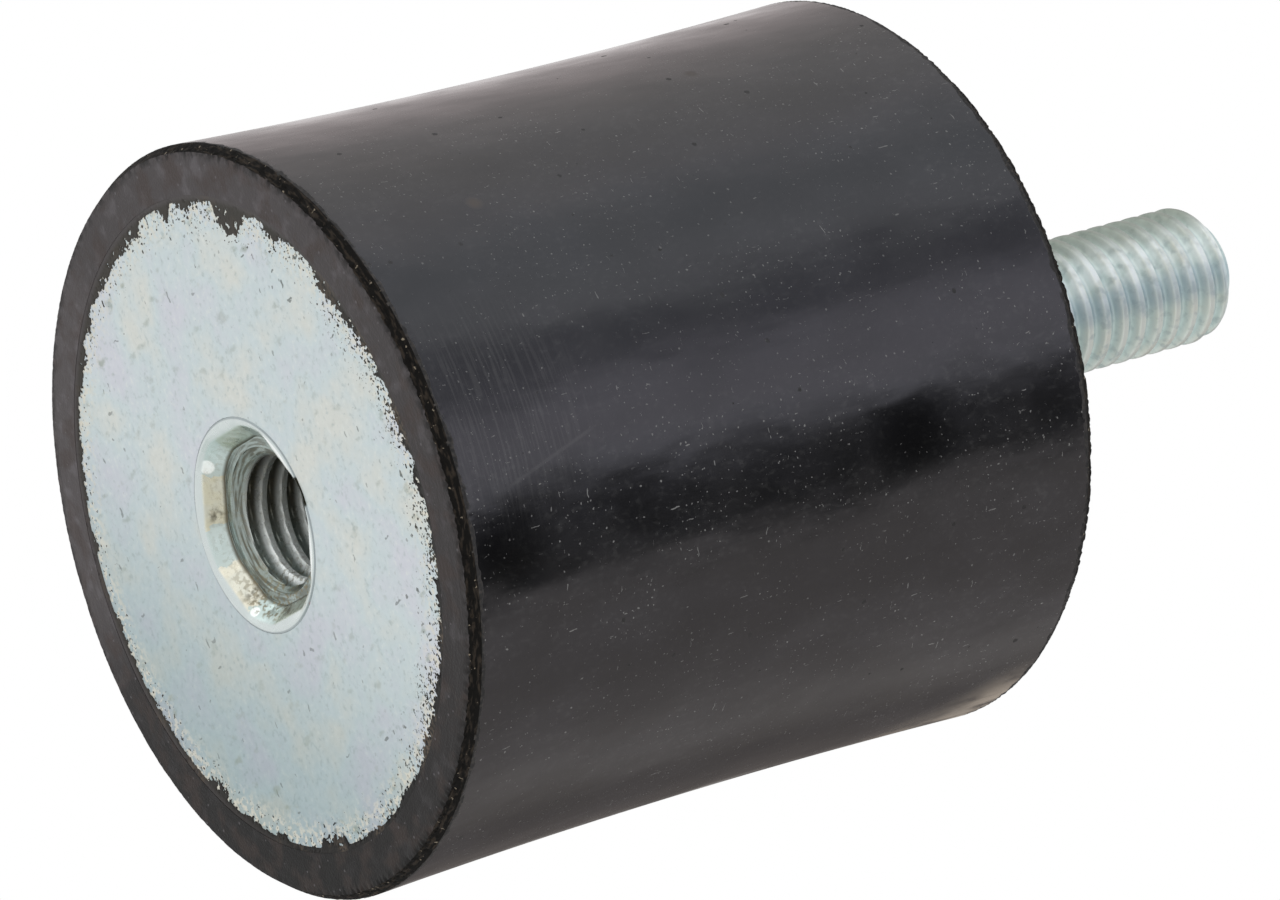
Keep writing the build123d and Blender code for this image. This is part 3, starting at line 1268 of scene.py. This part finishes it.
@dataclass
class RimFilm:
    """Rubber film over the rim of a plate, with a ragged inner border.

    Its borders are angles in degrees, each with the film's width there. It overlaps the rubber
    round the plate, and where it has no thickness it is bedded a little below the plate's face.
    """

    name: str
    face: float
    outwards: float
    borders: Sequence[Point]
    rim_radius: float = PLATE_RADIUS
    reach: float = 2.3
    overlap: float = 0.08
    rows: int = 44
    thickness: float = 0.06
    crumb_height: float = 0.04
    fillet_width: float = 0.45
    fillet_height: float = 0.055
    bedded: float = 0.018
    sunk: float = 0.1
    crumbly_side: float = 255.0
    seed: float = 0.0
    steps: int = 1728
    sharp: float = 60.0

    def section(self) -> list[Point]:
        """Half section of the blank ring, its shown side a little above the plate's face.

        Returns:
            Its points, each a radius and a height.
        """
        inner = self.rim_radius - self.reach
        outer = self.rim_radius + self.overlap
        under = self.face - self.outwards * self.sunk
        shown = straight((outer, self.face), (inner, self.face), self.rows)
        return [(outer, under), (outer, self.face), *shown, (inner, under), (outer, under)]

    def crept(self, radius: float, angle: float, height: float) -> Point:
        """Where a point of the blank ring lies once the film has its thickness and border.

        Args:
            radius: The point's radius in millimetres.
            angle: Its angle in radians.
            height: Its height in millimetres.

        Returns:
            Its new radius and height.
        """
        if abs(height - self.face) > TINY:
            return radius, height
        width = round_trip(math.degrees(angle), self.borders)
        from_rim = self.rim_radius - radius
        seed = self.seed
        ragged = 0.2 * grain(radius, angle, seed, 0.8, 3) + 0.3 * grain(radius, angle, seed, 0.22, 2)
        over = width - from_rim + ragged * min(1.0, 0.5 + width)
        film = ramped(over, -0.03, 0.1) * self.thickness
        clear = grain(radius, angle, seed + 5, 0.4, 3)
        film *= 1 - ramped(clear, 0.34, 0.48) * ramped(from_rim, 0.05, 0.3)
        near = 1 - ramped(from_rim - width, 0.0, 1.5)
        patchy = 0.5 + 0.5 * grain(radius, angle, seed + 20, 3.0, 2)
        crumbly = 0.1 + 0.34 * ramped(math.cos(angle - math.radians(self.crumbly_side)), -0.4, 0.5)
        crumbs = ramped(grain(radius, angle, seed + 9, 0.2, 2) + crumbly * near * patchy, 0.5, 0.68)
        film = max(film, crumbs * self.crumb_height * ramped(near, 0.0, 0.3))
        fillet = self.fillet_height * ramped(self.fillet_width - from_rim, 0.0, self.fillet_width)
        return radius, self.face + self.outwards * (film + fillet - self.bedded)

    def build(self, finish: bpy.types.Material) -> bpy.types.Object:
        """Models the film and dresses it.

        Args:
            finish: Its finish.

        Returns:
            The piece.
        """
        piece = turned(self.name, self.section(), self.steps)
        reshape(piece, self.crept)
        smooth(piece, self.sharp)
        adopt(piece, Slot.RUBBER, [finish])
        return piece


# Borders of the two films.
SHOWN_BORDER = (
    (0, 0.25), (4, 0.25), (6, 0.8), (13, 0.85), (15, 0.15), (24, 0.15), (26, 0.5), (31, 0.25),
    (36, 0.5), (43, 0.4), (46, 0.9), (50, 0.8), (52, 0.25), (60, 0.25), (66, 0.55), (75, 0.3),
    (88, 0.55), (91, 0.1), (99, 0.1), (102, 0.55), (106, 0.1), (111, 0.5), (120, 0.5), (129, 0.3),
    (133, 0.65), (139, 0.65), (141, 0.25), (145, 0.65), (149, 0.25), (152, 0.7), (172, 0.8),
    (174, 0.9), (177, 0.25), (183, 0.25), (186, 1.1), (189, 0.15), (193, 0.8), (198, 0.4),
    (202, 0.3), (205, 1.6), (207, 1.95), (210, 1.9), (212, 1.0), (214, 0.6), (217, 0.25),
    (222, 0.95), (226, 0.3), (234, 0.3), (238, 0.9), (252, 0.7), (255, 0.3), (259, 0.65),
    (262, 0.3), (266, 0.8), (271, 0.7), (274, 0.25), (278, 0.9), (281, 0.3), (290, 0.3),
    (300, 0.5), (312, 0.5), (328, 0.55), (332, 0.25), (340, 0.55), (346, 0.3), (355, 0.4),
)
HIDDEN_BORDER = (
    (0, 0.4), (20, 0.8), (35, 0.3), (60, 0.6), (72, 1.2), (80, 0.3), (110, 0.5), (140, 0.9),
    (150, 0.4), (185, 0.6), (200, 0.2), (230, 0.7), (236, 1.5), (244, 0.4), (280, 0.5), (310, 0.9),
    (330, 0.3),
)


@dataclass(frozen=True)
class Thread:
    """Right-hand metric thread, whose outer and inner flats are given as parts of its pitch."""

    inner: float
    outer: float
    outer_flat: float
    inner_flat: float
    pitch: float = 1.25

    def radius(self, angle: float, height: float) -> float:
        """Radius of the thread at a place.

        Args:
            angle: The place's angle in radians.
            height: Its height in millimetres.

        Returns:
            The radius.
        """
        turn = (height / self.pitch - angle / FULL_TURN) % 1.0
        off_crest = abs(turn - 0.5) * 2
        inwards = ramped(off_crest, self.outer_flat, 1 - self.inner_flat)
        return self.outer + (self.inner - self.outer) * inwards


@dataclass
class ThreadedBush:
    """The blind bush: its swaged six-sided mouth, lead-in and internal thread.

    The lip starts a little inside the nose's edge. In the blank, the mouth starts a little outside
    the flats. A nick widens the mouth on one side.
    """

    nose_radius: float = NOSE_RADIUS
    body_radius: float = BUSH_RADIUS
    shoulder: float = SHOULDER
    end: float = BUSH_END
    end_chamfer: float = STEEL_CHAMFER
    face: float = THREADED_FACE
    flats: int = 6
    flat_radius: float = 5.15
    corner_radius: float = 5.4
    floor_flat_radius: float = 4.32
    floor_corner_radius: float = 4.5
    corner_softness: float = 0.025
    mouth_floor: float = MOUTH_FLOOR
    lead_radius: float = 3.95
    bore_radius: float = BORE_RADIUS
    bore_floor: float = 8.92
    drill_cone: float = 0.6
    lip: float = 0.1
    lip_rise: float = 0.06
    lip_depth: float = 0.14
    lip_start: float = 0.03
    least_lip: float = 0.04
    mouth_start: float = 0.08
    dent: float = 0.02
    nick_angle: float = 268.0
    nick_spread: float = 6.0
    nick: float = 0.28
    nick_depth: float = 0.5
    lip_rows: int = 6
    mouth_rows: int = 28
    ledge_rows: int = 4
    bore_rows: int = 112
    steps: int = 384
    sharp: float = 18.0
    thread: Thread = Thread(BORE_RADIUS, 3.98, 0.12, 0.2)

    def section(self) -> list[Point]:
        """Half section of the blank, from its blind end round the outside and down the bore.

        Returns:
            Its points, each a radius and a height.
        """
        outside = [
            (0, self.end),
            (self.body_radius - self.end_chamfer, self.end),
            (self.body_radius, self.end - self.end_chamfer),
            (self.body_radius, self.shoulder),
            (self.nose_radius, self.shoulder),
            (self.nose_radius, self.face + 0.04),
            (self.nose_radius - 0.01, self.face + 0.01),
            (self.nose_radius - self.lip_start, self.face - 0.01),
        ]
        mouth_edge = (self.flat_radius + self.mouth_start, self.face)
        mouth_foot = (self.floor_flat_radius, self.mouth_floor)
        rim = (self.nose_radius - self.lip_start, self.face)
        mouth = straight(rim, mouth_edge, self.lip_rows)
        mouth += straight(mouth_edge, mouth_foot, self.mouth_rows)
        ledge = straight(mouth_foot, (self.lead_radius, self.mouth_floor), self.ledge_rows)
        bore = straight(ledge[-1], (self.lead_radius, self.bore_floor), self.bore_rows)
        end = [(self.bore_radius * 0.5, self.bore_floor + self.drill_cone * 0.5)]
        return [*outside, *mouth, *ledge, *bore, *end, (0, self.bore_floor + self.drill_cone)]

    def mouth_radius(self, angle: float, depth: float) -> float:
        """Radius of the mouth's wall, where flats meet rounded corners.

        Args:
            angle: The angle in radians.
            depth: How deep in the mouth, from 0 at its edge to 1 at its floor.

        Returns:
            The radius.
        """
        sector = FULL_TURN / self.flats
        off_flat = (angle + sector / 2) % sector - sector / 2
        flat = self.flat_radius + (self.floor_flat_radius - self.flat_radius) * depth
        corner = self.corner_radius + (self.floor_corner_radius - self.corner_radius) * depth
        wall = flat / math.cos(off_flat)
        soft = self.corner_softness
        return -soft * math.log(math.exp(-wall / soft) + math.exp(-corner / soft))

    def swaged(self, radius: float, angle: float, height: float) -> Point:
        """Where a point of the blank lies once the mouth is swaged and the bore is tapped.

        Args:
            radius: The point's radius in millimetres.
            angle: Its angle in radians.
            height: Its height in millimetres.

        Returns:
            Its new radius and height.
        """
        if height > self.bore_floor - TINY or radius > self.nose_radius - 0.02:
            return radius, height
        if height > self.mouth_floor + TINY:
            lead = max(self.lead_radius - (height - self.mouth_floor), self.bore_radius)
            return max(self.thread.radius(angle, height), lead), height
        depth = (height - self.face) / (self.mouth_floor - self.face)
        if depth > 1 - TINY:
            wall = self.mouth_radius(angle, 1.0)
            part = (radius - self.lead_radius) / (self.floor_flat_radius - self.lead_radius)
            return self.lead_radius + (wall - self.lead_radius) * part, height
        edge = self.flat_radius + self.mouth_start
        rim = self.nose_radius - self.lip_start
        off_nick = (math.degrees(angle) - self.nick_angle + 180) % 360 - 180
        nick = self.nick * math.exp(-((off_nick / self.nick_spread) ** 2))
        opening = self.mouth_radius(angle, 0.0) + self.lip
        opening = min(opening + nick, rim - self.least_lip)
        if depth < TINY:
            part = (radius - edge) / (rim - edge)
            roll = 4 * part * (1 - part) * self.lip_rise
            return opening + (rim - opening) * part, height - roll
        wall = self.mouth_radius(angle, depth) + nick * (1 - ramped(depth, 0.0, self.nick_depth))
        wall = min(wall, rim - self.least_lip)
        rounded = max(0.0, 1 - depth / self.lip_depth)
        dent = grain(radius, angle, height, 0.9, 3) * self.dent * ramped(depth, 0.1, 0.3)
        return wall + self.lip * rounded * rounded - dent, height

    def build(self, finish: bpy.types.Material) -> bpy.types.Object:
        """Models the bush and dresses it.

        Args:
            finish: Its finish.

        Returns:
            The piece.
        """
        piece = turned("swaged_bush", self.section(), self.steps)
        reshape(piece, self.swaged)
        smooth(piece, self.sharp)
        adopt(piece, Slot.BUSH, [finish], "threaded_bush")
        return piece


@dataclass
class ThreadedStud:
    """The headed stud: pressed neck, rolled thread and rounded tip."""

    head_z: float = HEAD_Z
    head_radius: float = HEAD_RADIUS
    head_chamfer: float = STEEL_CHAMFER
    shoulder: float = STUD_SHOULDER
    neck_radius: float = 4.35
    plate_face: float = STUD_FACE
    end: float = STUD_END - TINY
    start_length: float = 0.6
    tip_length: float = 2.15
    tip_radius: float = 2.35
    tip_bulge: float = 0.48
    tip_groove: float = 0.25
    tip_inset: float = 0.5
    rows: int = 420
    steps: int = 192
    sharp: float = 60.0
    thread: Thread = Thread(STUD_ROOT, STUD_CREST, 0.2, 0.1)

    def envelope(self, height: float) -> float:
        """Largest radius of the stud: the crests', or the rounded tip's.

        Args:
            height: How high, in millimetres.

        Returns:
            The radius at that height.
        """
        part = max(0.0, (height - (self.end - self.tip_length)) / self.tip_length)
        plain = self.thread.outer + (self.tip_radius - self.thread.outer) * part
        return plain + self.tip_bulge * 4 * part * (1 - part)

    def section(self) -> list[Point]:
        """Half section of the blank, from the head's underside to the tip.

        Returns:
            Its points, each a radius and a height.
        """
        head = [
            (0, self.head_z),
            (self.head_radius - self.head_chamfer, self.head_z),
            (self.head_radius, self.head_z + self.head_chamfer),
            (self.head_radius, self.shoulder),
            (self.neck_radius, self.shoulder),
            (self.neck_radius, self.plate_face),
        ]
        foot = (self.thread.outer, self.plate_face)
        shank = straight(foot, (self.thread.outer, self.end), self.rows)
        return [*head, foot, *shank, (self.tip_radius - self.tip_inset, self.end), (0, self.end)]

    def rolled(self, radius: float, angle: float, height: float) -> Point:
        """Where a point of the blank lies once the thread is rolled.

        Args:
            radius: The point's radius in millimetres.
            angle: Its angle in radians.
            height: Its height in millimetres.

        Returns:
            Its new radius and height.
        """
        if height < self.plate_face + TINY or radius < self.tip_radius:
            return radius, height
        inner, outer = self.thread.inner, self.thread.outer
        start = ramped(height, self.plate_face, self.plate_face + self.start_length)
        rolled = outer + (self.thread.radius(angle, height) - outer) * start
        tip = self.envelope(height)
        if height > self.end - self.tip_length:
            inside = max(0.0, rolled - inner) / (outer - inner)
            shallow = tip - (outer - inner) * (1 - inside) * 0.6
            rolled = min(rolled, max(shallow, tip - self.tip_groove))
        return min(rolled, tip), height

    def build(self, finish: bpy.types.Material) -> bpy.types.Object:
        """Models the stud and dresses it.

        Args:
            finish: Its finish.

        Returns:
            The piece.
        """
        piece = turned("rolled_stud", self.section(), self.steps)
        reshape(piece, self.rolled)
        smooth(piece, self.sharp)
        adopt(piece, Slot.STUD, [finish], "threaded_stud")
        return piece


@dataclass
class EndPlates:
    """The two steel end plates, kept as the frame has them."""

    nodes: Sequence[str] = ("threaded_end_plate", "stud_end_plate")

    def dress(self, finish: bpy.types.Material) -> None:
        """Gives both plates their finish.

        Args:
            finish: The finish.
        """
        for name in self.nodes:
            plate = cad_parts[name]
            plate.data.materials.clear()
            plate.data.materials.append(finish)
            LOG.info("%s: dressed", name)


# --- Studio ---


@dataclass(frozen=True)
class ToneCard:
    """Upright card round the object, seen only in reflections, its tones spread round the compass.

    Each tone is an angle in degrees and the light that comes from there.
    """

    name: str
    foot: float
    top: float
    tones: Sequence[Tone]
    fade: float = 80.0
    radius: float = 600.0
    sides: int = 128

    def make(self) -> None:
        """Makes the card."""
        foot, top, fade = self.foot, self.top, self.fade
        deselect()
        bpy.ops.mesh.primitive_cylinder_add(
            vertices=self.sides,
            radius=self.radius * MM,
            depth=(top - foot) * MM,
            end_fill_type="NOTHING",
            location=(0, 0, (top + foot) / 2 * MM),
        )
        card = bpy.context.object
        card.name = self.name
        bpy.ops.object.transform_apply(location=True, rotation=False, scale=False)
        g = Graph(self.name + "_tones", (1.0, 1.0, 1.0))
        turn = g.plus(g.times(g.angle, 1 / FULL_TURN), 0.5)
        tone = g.ramp(turn, [((angle + 180) / 360, colour) for angle, colour in self.tones])
        g.lay(tone, g.past(g.height, foot, foot + fade), g.past(g.height, top, top - fade))
        glow = g.node("ShaderNodeEmission", Color=g.colour, Strength=1.0)
        g.put(g.output.inputs["Surface"], glow.outputs[0])
        card.data.materials.append(g.material)
        for ray in ("camera", "diffuse", "transmission", "volume_scatter", "shadow"):
            setattr(card, "visible_" + ray, False)


# Tones of the two cards.
UPPER_TONES = (
    (-180, (0.76, 0.74, 0.75)), (-172, (0.80, 0.78, 0.80)), (-162, (0.88, 0.86, 0.91)),
    (-152, (0.86, 0.87, 0.94)), (-142, (0.70, 0.73, 0.80)), (-132, (0.85, 0.87, 0.95)),
    (-122, (0.86, 0.87, 0.95)), (-115, (0.42, 0.43, 0.50)), (-103, (0.44, 0.44, 0.52)),
    (-95, (0.92, 0.90, 1.04)), (-82, (0.95, 0.92, 1.05)), (-73, (0.86, 0.86, 0.98)),
    (-65, (0.06, 0.06, 0.07)), (-45, (0.05, 0.05, 0.05)), (-37, (0.60, 0.56, 0.57)),
    (-20, (0.55, 0.51, 0.52)), (15, (0.56, 0.52, 0.52)), (30, (0.62, 0.58, 0.57)),
    (42, (0.34, 0.31, 0.30)), (50, (0.22, 0.20, 0.20)), (82, (0.18, 0.16, 0.15)),
    (94, (1.00, 0.95, 0.90)), (110, (1.10, 1.06, 1.06)), (120, (0.98, 0.90, 0.90)),
    (130, (0.80, 0.72, 0.72)), (140, (0.76, 0.68, 0.68)), (160, (0.73, 0.69, 0.69)),
    (180, (0.76, 0.74, 0.75)),
)
LOWER_TONES = (
    (-180, (1.00, 1.00, 0.98)), (-165, (1.15, 1.12, 1.05)), (-145, (1.15, 1.12, 1.05)),
    (-110, (0.90, 0.90, 0.90)), (-65, (0.78, 0.76, 0.71)), (-15, (0.74, 0.71, 0.66)),
    (6, (0.70, 0.70, 0.68)), (10, (0.95, 0.97, 0.96)), (20, (0.90, 0.92, 0.90)),
    (24, (0.80, 0.84, 0.82)), (55, (0.80, 0.84, 0.82)), (75, (1.00, 1.00, 1.00)),
    (145, (1.00, 1.00, 1.00)), (153, (1.45, 1.50, 1.48)), (163, (1.45, 1.50, 1.48)),
    (170, (1.00, 1.00, 1.00)), (180, (1.00, 1.00, 0.98)),
)


@dataclass
class Studio:
    """White surroundings, a pale floor, and two cards that shade the glossy surfaces.

    The floor fades out between two parts of its radius.
    """

    floor_radius: float = 900.0
    floor_sides: int = 96
    floor_tone: Colour = (0.92, 0.92, 0.92)
    fade_start: float = 0.35
    fade_end: float = 0.95
    upper: ToneCard = ToneCard("upper_card", 60.0, 1100.0, UPPER_TONES)
    lower: ToneCard = ToneCard("lower_card", -700.0, -20.0, LOWER_TONES)
    white: float = 1.0
    grey: float = 0.9

    def world(self) -> None:
        """Makes surroundings that light in pale grey and show as white, seen or mirrored."""
        world = bpy.data.worlds.new("studio_white")
        world.use_nodes = True
        nodes, links = world.node_tree.nodes, world.node_tree.links
        background = nodes["Background"]
        background.inputs["Strength"].default_value = 1.0
        rays = nodes.new("ShaderNodeLightPath")
        tone = nodes.new("ShaderNodeMix")
        tone.data_type = "RGBA"
        for place, grey in ((6, self.grey), (7, self.white)):
            tone.inputs[place].default_value = (grey, grey, grey, 1.0)
        links.new(tone.outputs[2], background.inputs["Color"])
        shown = tone.inputs[0]
        for kind in ("Camera", "Glossy", "Transmission"):
            either = nodes.new("ShaderNodeMath")
            either.operation = "MAXIMUM"
            either.inputs[1].default_value = 0.0
            links.new(rays.outputs[f"Is {kind} Ray"], either.inputs[0])
            links.new(either.outputs[0], shown)
            shown = either.inputs[1]
        bpy.context.scene.world = world

    def floor(self) -> None:
        """Makes the floor that the object stands on, which is clear from below."""
        deselect()
        reach = self.floor_radius
        bpy.ops.mesh.primitive_circle_add(
            vertices=self.floor_sides, radius=reach * MM, fill_type="NGON", location=(0, 0, 0)
        )
        floor = bpy.context.object
        floor.name = "studio_floor"
        g = Graph("floor_white", self.floor_tone)
        g.dress(Roughness=0.9)
        fade = g.past(g.radius, reach * self.fade_start, reach * self.fade_end)
        below = g.node("ShaderNodeNewGeometry").outputs["Backfacing"]
        clear = g.node("ShaderNodeBsdfTransparent")
        joined = g.node("ShaderNodeMixShader")
        for place, value in enumerate((g.most(fade, below), g.shader.outputs[0], clear.outputs[0])):
            g.put(joined.inputs[place], value)
        g.put(g.output.inputs["Surface"], joined.outputs[0])
        floor.data.materials.append(g.material)
        for ray in ("diffuse", "glossy", "shadow"):
            setattr(floor, "visible_" + ray, False)


@dataclass
class ProductCamera:
    """Camera that looks up at the threaded end from beside it."""

    lens: float = 205.2
    sensor: float = 36.0
    nearest: float = 50.0
    farthest: float = 20000.0
    axis_angle: float = 57.2
    roll: float = 15.27
    near_side: float = -82.46
    left: float = 20.14
    below: float = 3.95
    ahead: float = 378.95

    def make(self) -> None:
        """Makes the camera and gives it to the scene."""
        tilt, roll = math.radians(self.axis_angle), math.radians(self.roll)
        side = math.radians(self.near_side)
        axis = Vector((0, 0, 1))
        near = Vector((math.cos(side), math.sin(side), 0))
        across = near.cross(axis)
        forward = axis * math.cos(tilt) - near * math.sin(tilt)
        along = axis * math.sin(tilt) + near * math.cos(tilt)
        right = along * math.cos(roll) - across * math.sin(roll)
        up = along * math.sin(roll) + across * math.cos(roll)
        place = (right * self.left + up * self.below - forward * self.ahead) * MM
        data = bpy.data.cameras.new("product_camera")
        data.lens = self.lens
        data.sensor_width = self.sensor
        data.clip_start, data.clip_end = self.nearest * MM, self.farthest * MM
        camera = bpy.data.objects.new("product_camera", data)
        bpy.context.scene.collection.objects.link(camera)
        turn = Matrix((right, up, -forward)).transposed().to_4x4()
        camera.matrix_world = Matrix.Translation(place) @ turn
        bpy.context.scene.camera = camera


def main() -> None:
    """Builds the object's pieces in order, then the studio round them."""
    logging.basicConfig(level=logging.INFO, format="%(message)s")
    deselect()
    bpy.context.scene.view_settings.view_transform = "Standard"
    rubbers = [
        GlossyRubber().material("glossy_rubber"),
        DullRubber().material("dull_rubber"),
        TornRubber().material("torn_rubber"),
    ]
    film = FilmFinish().material("rubber_film")
    RubberBody().build(rubbers)
    RimFilm("threaded_end_film", THREADED_FACE, -1.0, SHOWN_BORDER, seed=3.0).build(film)
    RimFilm("stud_end_film", STUD_FACE, 1.0, HIDDEN_BORDER, seed=21.0).build(film)
    EndPlates().dress(PlateFinish().material("plate_zinc"))
    ThreadedBush().build(BushFinish().material("bush_zinc"))
    ThreadedStud().build(StudFinish().material("stud_zinc"))
    studio = Studio()
    studio.world()
    studio.upper.make()
    studio.lower.make()
    studio.floor()
    ProductCamera().make()


if __name__ == "__main__":
    main()
